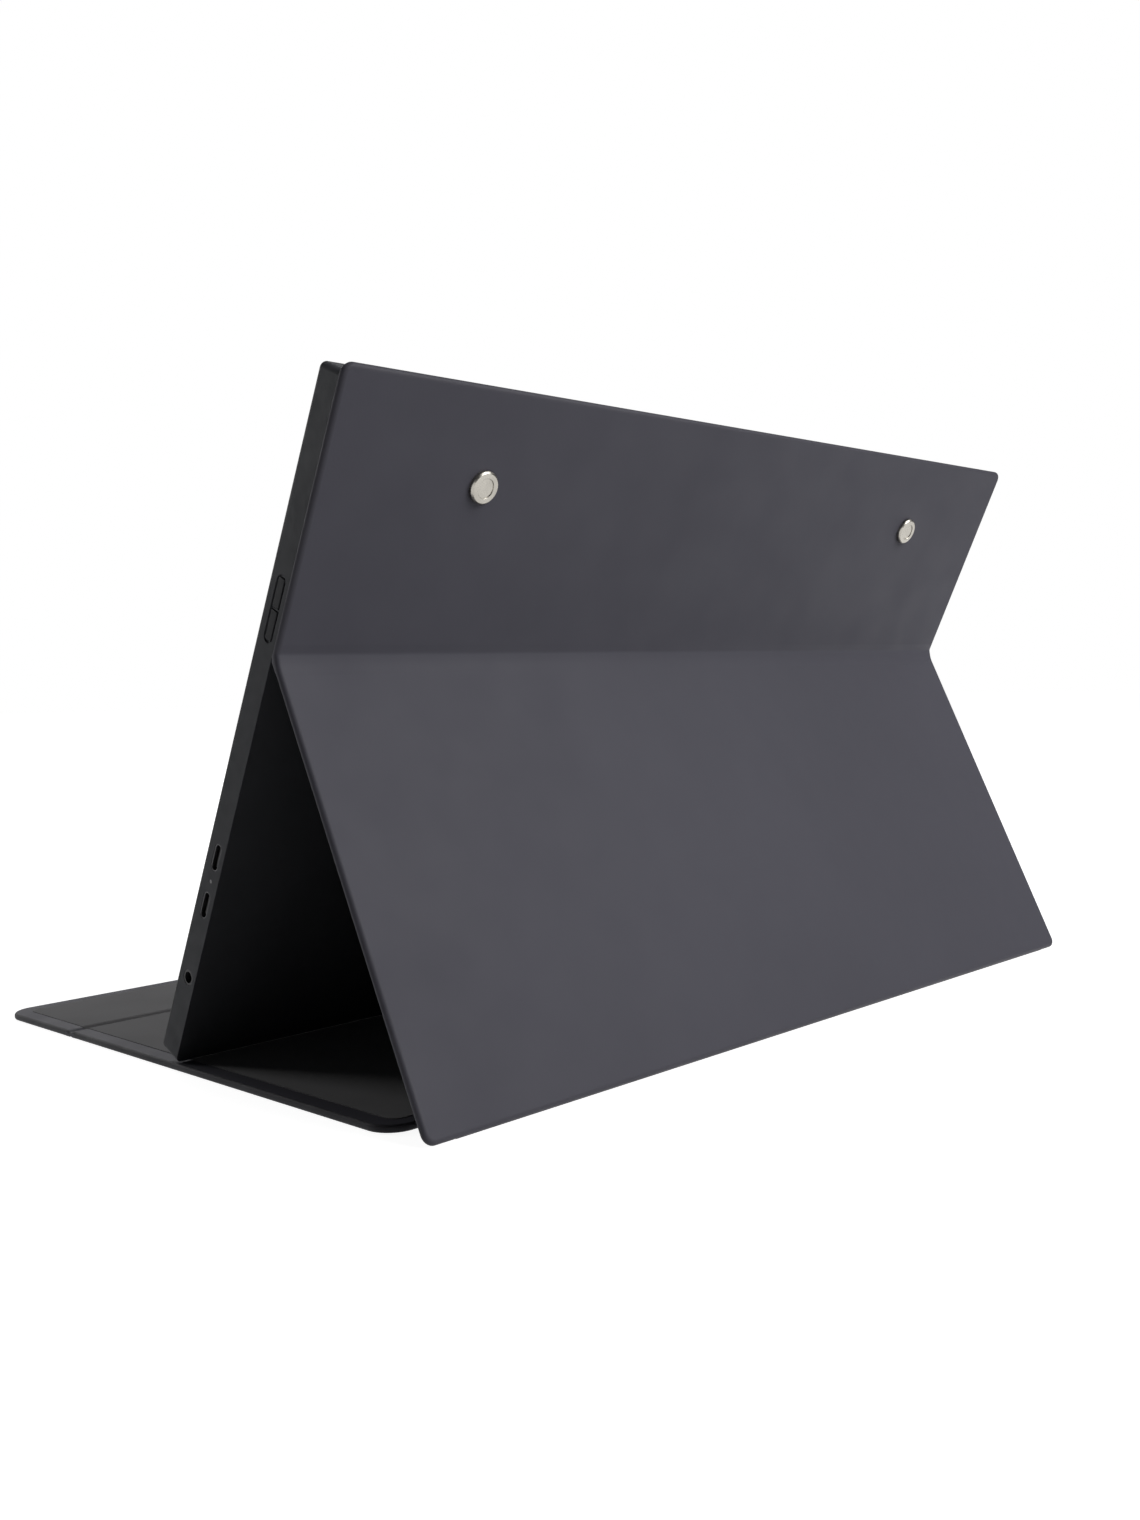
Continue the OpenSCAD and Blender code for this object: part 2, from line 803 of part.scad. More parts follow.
module leg_magnet_cuts(play) {
  for (side = [-1, 1])
    translate([side * magnet_x, magnet_h - fold_h, skin_t + board_t - cover_magnet_t - play])
      cylinder(r = magnet_r + play, h = cover_magnet_t + 2 * play);
}

module leg_board() {
  color([0.5, 0.45, 0.38]) on_leg() difference() {
    panel_board(cover_w, leg_low, -panel_end, panel_r, 0, false, true);
    leg_magnet_cuts(fit);
  }
}

module leg_lining() {
  color(felt) on_leg() panel_lining(cover_w, leg_low, -panel_end, panel_r, 0);
}

module leg_magnets() {
  color(metal) on_leg() leg_magnet_cuts(0);
}

// Cover: the spine strip, on the table between the leg and the flap

module heel_roll() {
  color(leather) roll(spine_len, heel_y);
}

module spine_skin() {
  color(leather) difference() {
    panel_body(spine_len, flap_y + panel_end, heel_y - panel_end, 0, 0, true, true);
    board_pocket(spine_len, flap_y + panel_end, heel_y - panel_end, 0, 0, true, true);
  }
}

module spine_stiffener() {
  color([0.5, 0.45, 0.38])
    panel_board(spine_len, flap_y + panel_end, heel_y - panel_end, 0, 0, true, true);
}

// Cover: the flap, in two lengths with a crease between them

module flap_roll() {
  color(leather) roll(spine_len, flap_y);
}

module rear_flap_skin() {
  color(leather)
    panel_skin(cover_w, crease_y + panel_end, flap_y - panel_end, 0, flap_r, true, false);
}

module rear_flap_board() {
  color([0.5, 0.45, 0.38])
    panel_board(cover_w, crease_y + panel_end, flap_y - panel_end, 0, flap_r, true, false);
}

module rear_flap_lining() {
  color(felt) panel_lining(cover_w, crease_y + panel_end, flap_y - panel_end, 0, flap_r);
}

module crease_roll() {
  color(leather) roll(cover_w, crease_y);
}

module front_flap_skin() {
  color(leather)
    panel_skin(cover_w, front_edge_y, crease_y - panel_end, flap_r, 0, false, true);
}

module flap_magnet_cuts(play) {
  for (side = [-1, 1])
    translate([side * magnet_x, front_edge_y + flap_front_len / 3,
      skin_t + board_t - cover_magnet_t - play])
      cylinder(r = magnet_r + play, h = cover_magnet_t + 2 * play);
}

module front_flap_board() {
  color([0.5, 0.45, 0.38]) difference() {
    panel_board(cover_w, front_edge_y, crease_y - panel_end, flap_r, 0, false, true);
    flap_magnet_cuts(fit);
  }
}

module front_flap_lining() {
  color(felt) panel_lining(cover_w, front_edge_y, crease_y - panel_end, flap_r, 0);
}

module flap_magnets() {
  color(metal) flap_magnet_cuts(0);
}

rear_housing();
front_bezel();
lcd_cell();
optical_films();
light_guide();
reflector_sheet();
led_bar();
panel_tray();
timing_board();
panel_flex();
display_cable();
main_board();
board_chips();
usb_socket_high();
usb_socket_low();
usb_tongues();
audio_jack();
status_light();
key_board();
key_switches();
key_cable();
speaker_left();
speaker_right();
speaker_wires();
housing_magnets();
tray_screws();
board_screws();
stud_inserts();
cover_studs();
cover_eyelets();
upper_skin();
upper_board();
upper_lining();
power_key();
menu_rocker();
fold_roll();
leg_skin();
leg_board();
leg_lining();
leg_magnets();
heel_roll();
spine_skin();
spine_stiffener();
flap_roll();
rear_flap_skin();
rear_flap_board();
rear_flap_lining();
crease_roll();
front_flap_skin();
front_flap_board();
front_flap_lining();
flap_magnets();
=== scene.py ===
"""Finish of a portable monitor that stands in its folding leather-like cover."""

import math

import bmesh
import bpy
from mathutils import Matrix, Vector
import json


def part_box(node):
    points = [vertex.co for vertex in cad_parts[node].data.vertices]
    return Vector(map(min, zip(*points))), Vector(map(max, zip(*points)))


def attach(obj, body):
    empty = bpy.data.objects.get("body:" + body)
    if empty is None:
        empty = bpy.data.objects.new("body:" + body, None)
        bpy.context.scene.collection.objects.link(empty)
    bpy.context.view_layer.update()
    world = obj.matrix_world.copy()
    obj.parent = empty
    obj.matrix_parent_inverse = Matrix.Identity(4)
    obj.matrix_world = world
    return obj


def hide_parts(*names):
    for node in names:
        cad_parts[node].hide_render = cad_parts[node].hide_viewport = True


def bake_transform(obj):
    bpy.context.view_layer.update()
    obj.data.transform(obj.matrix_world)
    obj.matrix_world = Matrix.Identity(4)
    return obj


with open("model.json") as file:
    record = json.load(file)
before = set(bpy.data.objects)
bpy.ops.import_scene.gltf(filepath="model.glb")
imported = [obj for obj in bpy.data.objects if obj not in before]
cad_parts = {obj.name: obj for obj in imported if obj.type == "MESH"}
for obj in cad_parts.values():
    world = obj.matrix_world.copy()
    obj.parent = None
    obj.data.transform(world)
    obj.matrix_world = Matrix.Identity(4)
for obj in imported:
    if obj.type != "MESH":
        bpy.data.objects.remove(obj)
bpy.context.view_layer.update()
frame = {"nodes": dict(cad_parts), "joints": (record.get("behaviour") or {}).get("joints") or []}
nodes = frame["nodes"]
joints = {joint["name"]: joint for joint in frame["joints"]}

MM = 0.001

# The camera comes first, because it needs nothing from the pieces: mm, degrees, and its lens in mm
CAMERA_PLACE = (423.41, 409.66, 122.62)
CAMERA_TURNS = (-133.753, -3.378, -1.199)
CAMERA_LENS = 35.08


def aim_camera():
    place = Vector(CAMERA_PLACE) * MM
    yaw, pitch, roll = (math.radians(turn) for turn in CAMERA_TURNS)
    level = math.cos(pitch)
    ahead = Vector((math.sin(yaw) * level, math.cos(yaw) * level, math.sin(pitch)))
    camera = bpy.data.objects.new("camera", bpy.data.cameras.new("camera"))
    camera.data.lens = CAMERA_LENS
    camera.data.clip_start = 0.01
    turn = ahead.to_track_quat("-Z", "Y").to_matrix().to_4x4()
    camera.matrix_world = Matrix.Translation(place) @ turn @ Matrix.Rotation(roll, 4, "Z")
    bpy.context.scene.collection.objects.link(camera)
    bpy.context.scene.camera = camera


aim_camera()

# Sizes of the cover, in mm: its thickness, the air under the studs' panel, its hem and corners
THICK = 2.2
LIFT = 0.2
HALF = THICK / 2
HEM = 6.0
PANEL_CORNER = 3.5
FLAP_CORNER = 9.0
# Air under the monitor's lower edge, and how far it leans back
GAP = 0.3
TILT = math.radians(25)

# How far the fold's strip reaches up and down, the leg past the heel, and the spine from the heel
FOLD_UP, FOLD_DOWN = 4.6, 5.6
PAST_HEEL = 0.7
SPINE_START = 4
# Half the strip of a flat fold, and half the dip in its leather and lining
FLAT_HALF = 3.2
DIP = 2.6
# Depth of a lining sheet
PILE_DEEP = 0.35

# Top of the leather and of the lining, where a panel stands and where the monitor rests on it
STANDING_TOPS = (2.05, 2.2)
LYING_TOPS = (2.3, 2.5)
# Radii of a panel's edges, at its skin and at its lining
STANDING_RIM = (1.3, 0.5)
LYING_RIM = (0.85, 0.85)

# Points nearer than this lie in one plane, in mm, and faces bent less than this shade as one
NEAR = 1e-3
SMOOTH_BEND = math.radians(38)


def hinge(name):
    """Where a hinge of the frame crosses the middle plane, in mm."""
    return Vector(joints[name]["pos_m"]) / MM


def wide(node):
    """How far a node reaches across, in mm."""
    low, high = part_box(node)
    return (high[0] - low[0]) / MM


FOLD, HEEL = hinge("leg_fold"), hinge("heel_fold")
REAR, CREASE = hinge("flap_swing"), hinge("crease_fold")
LEG_LENGTH = (HEEL - FOLD).length
LEAN = math.atan2(HEEL.y - FOLD.y, FOLD.z - HEEL.z)
WIDE = wide("upper_skin")
SPINE_WIDE = wide("spine_skin")
SIDE = wide("rear_housing") / 2

# Places: a panel is drawn flat, x across, y along, z from its skin to its lining, in mm
SCALE = Matrix.Scale(MM, 4)
MONITOR = SCALE @ Matrix.Translation((0, 0, THICK + GAP)) @ Matrix.Rotation(-TILT, 4, "X")
BACK = MONITOR @ Matrix.Translation((0, LIFT + THICK, 0)) @ Matrix.Rotation(math.pi / 2, 4, "X")
LEG = (
    SCALE
    @ Matrix.Translation(FOLD)
    @ Matrix.Rotation(LEAN, 4, "X")
    @ Matrix.Translation((0, HALF, 0))
    @ Matrix.Rotation(math.pi / 2, 4, "X")
)
TABLE = SCALE


def reach(node, place, axis, pick):
    """The highest or lowest value of a node's points along one axis of a place, in mm."""
    turned = place.inverted()
    return pick((turned @ v.co)[axis] for v in nodes[node].data.vertices)


FOLD_HEIGHT = (MONITOR.inverted() @ (FOLD * MM)).z
TALL = reach("upper_skin", BACK, 1, max)
FRONT = reach("front_bezel", MONITOR, 1, min)
HIGH = reach("front_bezel", MONITOR, 2, max)
FLAP_END = reach("front_flap_skin", TABLE, 1, min)


def above_fold(s, depth):
    """Point s mm above the fold and so deep below the upper panel's skin, in metres."""
    return BACK @ Vector((0, FOLD_HEIGHT + s, depth))


def down_leg(s, depth):
    """Point s mm down the leg from the fold, in metres."""
    return LEG @ Vector((0, -s, depth))


def heel_end(s, depth):
    """Point s mm above the heel on the leg, in metres."""
    return down_leg(LEG_LENGTH - s, depth)


def on_table(y, z):
    return TABLE @ Vector((0, y, z))


# Finishes


class Finish:
    """A material with one shader, and short ways to wire textures into it."""

    # Most of a noise's values lie between these
    NOISE_RANGE = (0.3, 0.7)

    def __init__(self, name, colour, roughness, **settings):
        self.made = bpy.data.materials.new(name)
        self.made.use_nodes = True
        self.tree = self.made.node_tree
        self.shader = self.tree.nodes["Principled BSDF"]
        self.shader.inputs["Base Color"].default_value = (*colour, 1)
        self.shader.inputs["Roughness"].default_value = roughness
        for socket, value in settings.items():
            self.shader.inputs[socket.replace("_", " ")].default_value = value
        self.colour = colour
        self.place = self.node("ShaderNodeTexCoord").outputs["Object"]

    def node(self, kind, **settings):
        made = self.tree.nodes.new(kind)
        for key, value in settings.items():
            setattr(made, key, value)
        return made

    def link(self, start, end):
        self.tree.links.new(start, end)

    def noise(self, scale, detail=3.0, stretch=None):
        texture = self.node("ShaderNodeTexNoise")
        texture.inputs["Scale"].default_value = scale
        texture.inputs["Detail"].default_value = detail
        place = self.place
        if stretch:
            mapping = self.node("ShaderNodeMapping")
            mapping.inputs["Scale"].default_value = stretch
            self.link(place, mapping.inputs["Vector"])
            place = mapping.outputs["Vector"]
        self.link(place, texture.inputs["Vector"])
        return texture.outputs["Fac"]

    def cells(self, scale, feature="SMOOTH_F1"):
        texture = self.node("ShaderNodeTexVoronoi", feature=feature)
        texture.inputs["Scale"].default_value = scale
        self.link(self.place, texture.inputs["Vector"])
        return texture.outputs["Distance"]

    def ramp(self, value, stops):
        made = self.node("ShaderNodeValToRGB")
        self.link(value, made.inputs["Fac"])
        for stop, (place, colour) in zip(made.color_ramp.elements, stops):
            stop.position = place
            stop.color = (*colour, 1)
        return made.outputs["Color"]

    def shades(self, value, spread, low=0.35, high=0.65):
        """The base colour, darker and lighter by spread, where value says."""
        dark = [c * (1 - spread) for c in self.colour]
        light = [min(1, c * (1 + spread)) for c in self.colour]
        shade = self.ramp(value, [(low, dark), (high, light)])
        self.link(shade, self.shader.inputs["Base Color"])
        return self

    def blend(self, first, second, share):
        """First plus a share of second."""
        made = self.node("ShaderNodeMath", operation="MULTIPLY_ADD")
        self.link(second, made.inputs[0])
        made.inputs[1].default_value = share
        self.link(first, made.inputs[2])
        return made.outputs[0]

    def rough(self, value, low, high):
        """A roughness between low and high, where value says."""
        made = self.node("ShaderNodeMapRange")
        self.link(value, made.inputs["Value"])
        values = (*self.NOISE_RANGE, low, high)
        for socket, end in zip(("From Min", "From Max", "To Min", "To Max"), values):
            made.inputs[socket].default_value = end
        self.link(made.outputs["Result"], self.shader.inputs["Roughness"])
        return self

    def relief(self, value, strength, depth):
        """Fine bumps, depth in metres, where value says."""
        made = self.node("ShaderNodeBump")
        made.inputs["Strength"].default_value = strength
        made.inputs["Distance"].default_value = depth
        self.link(value, made.inputs["Height"])
        self.link(made.outputs["Normal"], self.shader.inputs["Normal"])
        return self


def leather(name, colour, roughness):
    """Smooth synthetic leather: fine pores, a soft cloudiness and a slightly uneven shine."""
    made = Finish(
        name, colour, roughness, Specular_IOR_Level=0.2, Sheen_Weight=0.03, Sheen_Roughness=0.5
    )
    made.shades(made.noise(9, 4), 0.045)
    made.rough(made.noise(60, 3), roughness - 0.04, roughness + 0.05)
    pores = made.blend(made.cells(1500), made.noise(420, 4), 0.6)
    made.relief(pores, 0.16, 0.00008)
    return made.made


def felt(name, colour):
    """Short brushed pile."""
    made = Finish(
        name, colour, 0.92, Specular_IOR_Level=0.2, Sheen_Weight=0.25, Sheen_Roughness=0.4
    )
    made.shades(made.blend(made.noise(35, 4), made.noise(1600, 2), 0.35), 0.08, 0.45, 0.8)
    made.relief(made.noise(2300, 2, (1, 0.6, 1)), 0.35, 0.00012)
    return made.made


def plastic(name, colour, roughness, grain=0.12, gloss=0.4):
    """Moulded plastic with a spark-eroded grain."""
    made = Finish(name, colour, roughness, Specular_IOR_Level=gloss)
    made.shades(made.noise(40, 3), 0.05)
    made.rough(made.noise(300, 3), roughness - 0.05, roughness + 0.06)
    made.relief(made.noise(3000, 2), grain, 0.00005)
    return made.made


def metal(name, colour, roughness, stretch=None):
    """Plated or brushed metal with faint scratches."""
    made = Finish(name, colour, roughness, Metallic=1.0)
    made.shades(made.noise(220, 4, stretch), 0.06)
    made.rough(made.noise(900, 5, stretch or (1, 1, 6)), roughness - 0.07, roughness + 0.1)
    made.relief(made.noise(2600, 3, stretch or (1, 1, 8)), 0.1, 0.00003)
    return made.made


def film(name, colour, roughness, through=0.0):
    """Sheet, foil or board whose tone varies a little."""
    made = Finish(name, colour, roughness, Transmission_Weight=through, IOR=1.49)
    made.shades(made.noise(25, 3), 0.05)
    made.rough(made.noise(150, 3), roughness - 0.04, roughness + 0.05)
    return made.made


def anti_glare(name, colour, roughness):
    """Matt front of a picture panel: an even fine haze."""
    made = Finish(name, colour, roughness, Specular_IOR_Level=0.3)
    made.shades(made.noise(6, 2), 0.08)
    made.relief(made.noise(5200, 2), 0.06, 0.00002)
    return made.made


def circuit(name, colour):
    """Solder mask over fine copper tracks."""
    made = Finish(name, colour, 0.4, Coat_Weight=0.3)
    tracks = made.cells(420, "DISTANCE_TO_EDGE")
    light = [min(1, c * 1.8 + 0.02) for c in colour]
    tone = made.ramp(tracks, [(0.05, light), (0.11, colour)])
    made.link(tone, made.shader.inputs["Base Color"])
    made.relief(tracks, 0.25, 0.00005)
    return made.made


SKIN = leather("cover_leather", (0.0695, 0.068, 0.085), 0.58)
EDGE = leather("cover_leather_edge", (0.066, 0.064, 0.079), 0.54)
# Darker copy of the cover leather for the lying panels' rolled edges and the flat folds' ends:
# painted shade
SHADED_HEM_SKIN = leather("cover_leather_hem_painted_shade", (0.050, 0.049, 0.056), 0.58)
PILE = felt("cover_lining", (0.118, 0.116, 0.120))
SHELL = plastic("housing_plastic", (0.060, 0.062, 0.068), 0.55, 0.12, 0.12)
BEZEL = plastic("bezel_plastic", (0.030, 0.031, 0.034), 0.50, 0.12, 0.15)
# Darker copy of the housing plastic for the keys: painted shade of the recess they sit in
SHADED_KEYS = plastic("key_plastic", (0.020, 0.021, 0.024), 0.50, 0.12, 0.12)
NICKEL = metal("satin_nickel", (0.42, 0.40, 0.36), 0.30)
DARK_STEEL = metal("socket_steel", (0.11, 0.11, 0.115), 0.42)
SHEET = metal("tray_metal", (0.60, 0.61, 0.62), 0.34, (1, 30, 30))
BRASS = metal("insert_brass", (0.78, 0.60, 0.30), 0.28)
PICTURE = anti_glare("picture_surface", (0.006, 0.006, 0.008), 0.36)
WHITE = film("diffuser_film", (0.86, 0.87, 0.88), 0.5)
CLEAR = film("clear_acrylic", (0.93, 0.95, 0.96), 0.12, 0.7)
LENS = film("light_lens", (0.17, 0.17, 0.18), 0.35)
AMBER = film("flex_film", (0.50, 0.27, 0.07), 0.36)
RIBBON = film("ribbon_white", (0.80, 0.80, 0.76), 0.5)
BLOCK = plastic("moulded_black", (0.012, 0.012, 0.014), 0.5)
WIRE = plastic("wire_sleeve", (0.42, 0.03, 0.03), 0.45)
BOARD = circuit("circuit_board", (0.012, 0.085, 0.035))
CARD = film("pressed_board", (0.30, 0.25, 0.19), 0.85)

PLAIN = {
    PICTURE: ["lcd_cell"],
    WHITE: ["optical_films", "reflector_sheet"],
    CLEAR: ["light_guide"],
    LENS: ["status_light"],
    AMBER: ["led_bar", "panel_flex"],
    SHEET: ["panel_tray"],
    BOARD: ["timing_board", "main_board", "key_board"],
    RIBBON: ["display_cable", "key_cable"],
    BLOCK: ["board_chips", "usb_tongues", "audio_jack", "speaker_left", "speaker_right"],
    WIRE: ["speaker_wires"],
    NICKEL: [
        "key_switches", "housing_magnets", "tray_screws", "board_screws", "cover_eyelets",
        "leg_magnets", "flap_magnets",
    ],
    BRASS: ["stud_inserts"],
    CARD: ["upper_board", "leg_board", "spine_stiffener", "rear_flap_board", "front_flap_board"],
}
for material, names in PLAIN.items():
    for name in names:
        mesh = nodes[name].data
        mesh.materials.clear()
        mesh.materials.append(material)

# Making pieces


def piece(name, bm, materials):
    """Turns a finished bmesh in the frame's metres into a smooth-shaded object."""
    mesh = bpy.data.meshes.new(name)
    bm.to_mesh(mesh)
    bm.free()
    for material in materials:
        mesh.materials.append(material)
    mesh.shade_smooth()
    mesh.set_sharp_from_angle(angle=SMOOTH_BEND)
    made = bpy.data.objects.new(name, mesh)
    bpy.context.scene.collection.objects.link(made)
    return made


def rounded_plate(width, low, high, corner_low, corner_high):
    """Flat face with rounded corners, from y = low to y = high, at z = 0."""
    bm = bmesh.new()
    bmesh.ops.create_grid(bm, x_segments=1, y_segments=1, size=0.5)
    bmesh.ops.scale(bm, vec=(width, high - low, 1), verts=bm.verts)
    bmesh.ops.translate(bm, vec=(0, (low + high) / 2, 0), verts=bm.verts)
    for end, radius in ((low, corner_low), (high, corner_high)):
        if radius:
            corners = [v for v in bm.verts if abs(v.co.y - end) < NEAR]
            bmesh.ops.bevel(
                bm, geom=corners, offset=radius, affect="VERTICES", segments=10, profile=0.5,
                material=-1,
            )
    return bm


def thicken(bm, low, high):
    """Pulls the plate up into a slab from z = low to z = high."""
    bmesh.ops.translate(bm, vec=(0, 0, low), verts=bm.verts)
    grown = bmesh.ops.extrude_face_region(bm, geom=bm.faces[:])["geom"]
    raised = [v for v in grown if isinstance(v, bmesh.types.BMVert)]
    bmesh.ops.translate(bm, vec=(0, 0, high - low), verts=raised)
    bmesh.ops.recalc_face_normals(bm, faces=bm.faces)


def cap_edges(bm, level, joined):
    """Edges between one flat side of the slab and its rim, but for the ends that a strip joins."""
    found = []
    for edge in bm.edges:
        ups = [abs(face.normal.z) for face in edge.link_faces]
        if any(all(abs(v.co.y - end) < NEAR for v in edge.verts) for end in joined):
            continue
        if any(abs(v.co.z - level) > NEAR for v in edge.verts):
            continue
        if len(ups) == 2 and max(ups) > 0.99 and min(ups) < 0.1:
            found.append(edge)
    return found


def round_rim(bm, rims, segments, material, joined=()):
    """Rounds the slab's rim, with one radius at its lower side and one at its upper side."""
    heights = [v.co.z for v in bm.verts]
    for level, radius in zip((min(heights), max(heights)), rims):
        bmesh.ops.bevel(
            bm, geom=cap_edges(bm, level, joined), offset=radius, affect="EDGES",
            segments=segments, profile=0.5, clamp_overlap=True, material=material,
        )
    rim = [f for f in bm.faces if abs(f.normal.z) < 0.98]
    for face in rim:
        face.material_index = material
    flats = [f for f in bm.faces if abs(f.normal.z) > 0.99 and len(f.verts) > 8]
    for face in flats:
        bmesh.ops.inset_region(bm, faces=[face], thickness=0.3, use_even_offset=True)


def wrapped_panel(name, place, width, low, high, corner_low, corner_high, joined=()):
    """Stiff panel in leather with rolled edges."""
    lies = place is TABLE
    bm = rounded_plate(width, low, high, corner_low, corner_high)
    thicken(bm, 0, LYING_TOPS[0] if lies else STANDING_TOPS[0])
    round_rim(bm, LYING_RIM if lies else STANDING_RIM, 5, 1, joined)
    bm.transform(place)
    # A lying panel's rolled edges take the darker leather of painted shade
    return piece(name, bm, [SKIN, SHADED_HEM_SKIN if lies else EDGE])


def lining_sheet(name, place, width, low, high, corner_low, corner_high, joined=()):
    """Thin sheet of pile that lies in a panel's leather."""
    bm = rounded_plate(width, low, high, corner_low, corner_high)
    top = LYING_TOPS[1] if place is TABLE else STANDING_TOPS[1]
    thicken(bm, top - PILE_DEEP, top)
    round_rim(bm, (0.12, 0.12), 2, 0, joined)
    bm.transform(place)
    return piece(name, bm, [PILE])


def bridge_curve(start, aim, end, steps):
    """Points of a soft bend from start to end that leaves both towards aim."""
    shares = [i / steps for i in range(1, steps)]
    return [start * (1 - t) ** 2 + aim * 2 * t * (1 - t) + end * t * t for t in shares]


def strip(name, sides, width, materials):
    """Soft strip pulled out across the cover.

    Each side is a row of points and the radius of its two ends. The sides follow one another
    round the strip.
    """
    bm = bmesh.new()
    ring = [bm.verts.new((-width / 2 * MM, p.y, p.z)) for points, _ in sides for p in points]
    face = bm.faces.new(ring)
    grown = bmesh.ops.extrude_face_region(bm, geom=[face])["geom"]
    far = [v for v in grown if isinstance(v, bmesh.types.BMVert)]
    bmesh.ops.translate(bm, vec=(width * MM, 0, 0), verts=far)
    bmesh.ops.recalc_face_normals(bm, faces=bm.faces)
    for points, radius in sides:
        ends = []
        for edge in bm.edges:
            across = [abs(face.normal.x) for face in edge.link_faces]
            own = all(
                any((v.co - Vector((v.co.x, p.y, p.z))).length < 1e-6 for p in points)
                for v in edge.verts
            )
            if own and len(across) == 2 and max(across) > 0.99 and min(across) < 0.1:
                ends.append(edge)
        bmesh.ops.bevel(
            bm, geom=ends, offset=radius * MM, affect="EDGES", segments=5, profile=0.5,
            clamp_overlap=True, material=len(materials) - 1,
        )
    caps = [f for f in bm.faces if abs(f.normal.x) > 0.99]
    bmesh.ops.triangulate(bm, faces=caps)
    return piece(name, bm, materials)


# The cover's panels

upper_end = FOLD_HEIGHT + FOLD_UP
upper = wrapped_panel("upper_panel", BACK, WIDE, upper_end, TALL, 0, PANEL_CORNER, [upper_end])
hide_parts("upper_skin", "upper_lining")
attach(upper, "monitor")

leg = wrapped_panel(
    "leg_panel", LEG, WIDE, -LEG_LENGTH - PAST_HEEL, -FOLD_DOWN, PANEL_CORNER, 0, [-FOLD_DOWN]
)
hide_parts("leg_skin")
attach(leg, "leg")
leg_felt = lining_sheet(
    "leg_lining_sheet", LEG, WIDE - 2 * HEM, -LEG_LENGTH + HEM, -HEM, 1.5, 1.5
)
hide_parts("leg_lining")
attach(leg_felt, "leg")

spine_ends = (REAR.y + FLAT_HALF, HEEL.y - SPINE_START)
spine = wrapped_panel("spine_panel", TABLE, SPINE_WIDE, *spine_ends, 0, 0, spine_ends)
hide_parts("spine_skin")
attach(spine, "spine")

rear_end = CREASE.y + FLAT_HALF
rear = wrapped_panel(
    "rear_flap_panel", TABLE, WIDE, rear_end, REAR.y - 1.2, 0, FLAP_CORNER, [rear_end]
)
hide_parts("rear_flap_skin")
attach(rear, "rear_flap")
rear_felt = lining_sheet(
    "rear_flap_lining_sheet", TABLE, WIDE - 2 * HEM, CREASE.y + DIP, REAR.y - HEM, 0, 4,
    [CREASE.y + DIP],
)
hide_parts("rear_flap_lining")
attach(rear_felt, "rear_flap")

front_end = CREASE.y - FLAT_HALF
front = wrapped_panel(
    "front_flap_panel", TABLE, WIDE, FLAP_END, front_end, FLAP_CORNER, 0, [front_end]
)
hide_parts("front_flap_skin")
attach(front, "front_flap")
front_felt = lining_sheet(
    "front_flap_lining_sheet", TABLE, WIDE - 2 * HEM, FLAP_END + HEM, CREASE.y - DIP, 4, 0,
    [CREASE.y - DIP],
)
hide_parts("front_flap_lining")
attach(front_felt, "front_flap")

# The soft strips at its folds

# The fold bends at two lines with a narrow strip between them
high_line, low_line = above_fold(1.9, 0), down_leg(3.1, 0)
fold = strip(
    "fold_strip",
    [
        (
            [above_fold(FOLD_UP, 0), above_fold(2.6, 0)]
            + bridge_curve(above_fold(2.4, 0), high_line, high_line.lerp(low_line, 0.2), 5)
            + bridge_curve(high_line.lerp(low_line, 0.5), low_line, down_leg(4.9, 0), 8)
            + [down_leg(5, 0), down_leg(FOLD_DOWN, 0)],
            STANDING_RIM[0],
        ),
        (
            [down_leg(FOLD_DOWN, 2.05), down_leg(3.4, 2.25), down_leg(1.8, 2.25)]
            + [down_leg(0.3, 2.2), above_fold(0.3, 2.15)]
            + [above_fold(3, 2.05), above_fold(FOLD_UP, 2.05)],
            STANDING_RIM[1],
        ),
    ],
    WIDE, [SKIN, EDGE],
)
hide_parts("fold_roll")
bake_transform(fold)

heel_under = [
    heel_end(6, 1.0), heel_end(0.4, 0.9), on_table(HEEL.y - 0.2, 0.12),
    on_table(HEEL.y - 1.6, 0.05), on_table(HEEL.y - SPINE_START, 0.05),
]
heel_inside = [
    on_table(HEEL.y - SPINE_START, 1.7), on_table(HEEL.y - 3.2, 1.4), on_table(HEEL.y - 2.4, 1.1),
    heel_end(1.6, 1.3), heel_end(3, 1.5), heel_end(6, 1.7),
]
heel = strip("heel_strip", [(heel_under + heel_inside, 0.1)], SPINE_WIDE, [SKIN, EDGE])
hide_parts("heel_roll")
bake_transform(heel)


def dipped(y, top, floor, run):
    """Points of a shallow valley across the flap, from its rear side to its front side."""
    half = ((1, 0), (0.7, 0.12), (0.42, 0.5), (0.18, 0.88))
    shares = [(-s, fall) for s, fall in half] + [(0, 1)] + list(half[::-1])
    return [on_table(y - s * run, top + (floor - top) * fall) for s, fall in shares]


def flat_fold(name, y, width):
    """Leather of a fold that lies flat: dipped above, slightly raised below."""
    top = LYING_TOPS[0]
    back, front = y + FLAT_HALF, y - FLAT_HALF
    above = [on_table(back, top)] + dipped(y, top, top - 0.7, DIP) + [on_table(front, top)]
    below = [on_table(front, 0.05)] + dipped(y, 0.05, 0.3, 1.2)[::-1] + [on_table(back, 0.05)]
    # The strip's rounded ends take the darker leather of painted shade
    return strip(name, [(above, 0.6), (below, 0.6)], width, [SKIN, SHADED_HEM_SKIN])


turn = flat_fold("flap_strip", REAR.y, SPINE_WIDE)
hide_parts("flap_roll")
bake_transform(turn)

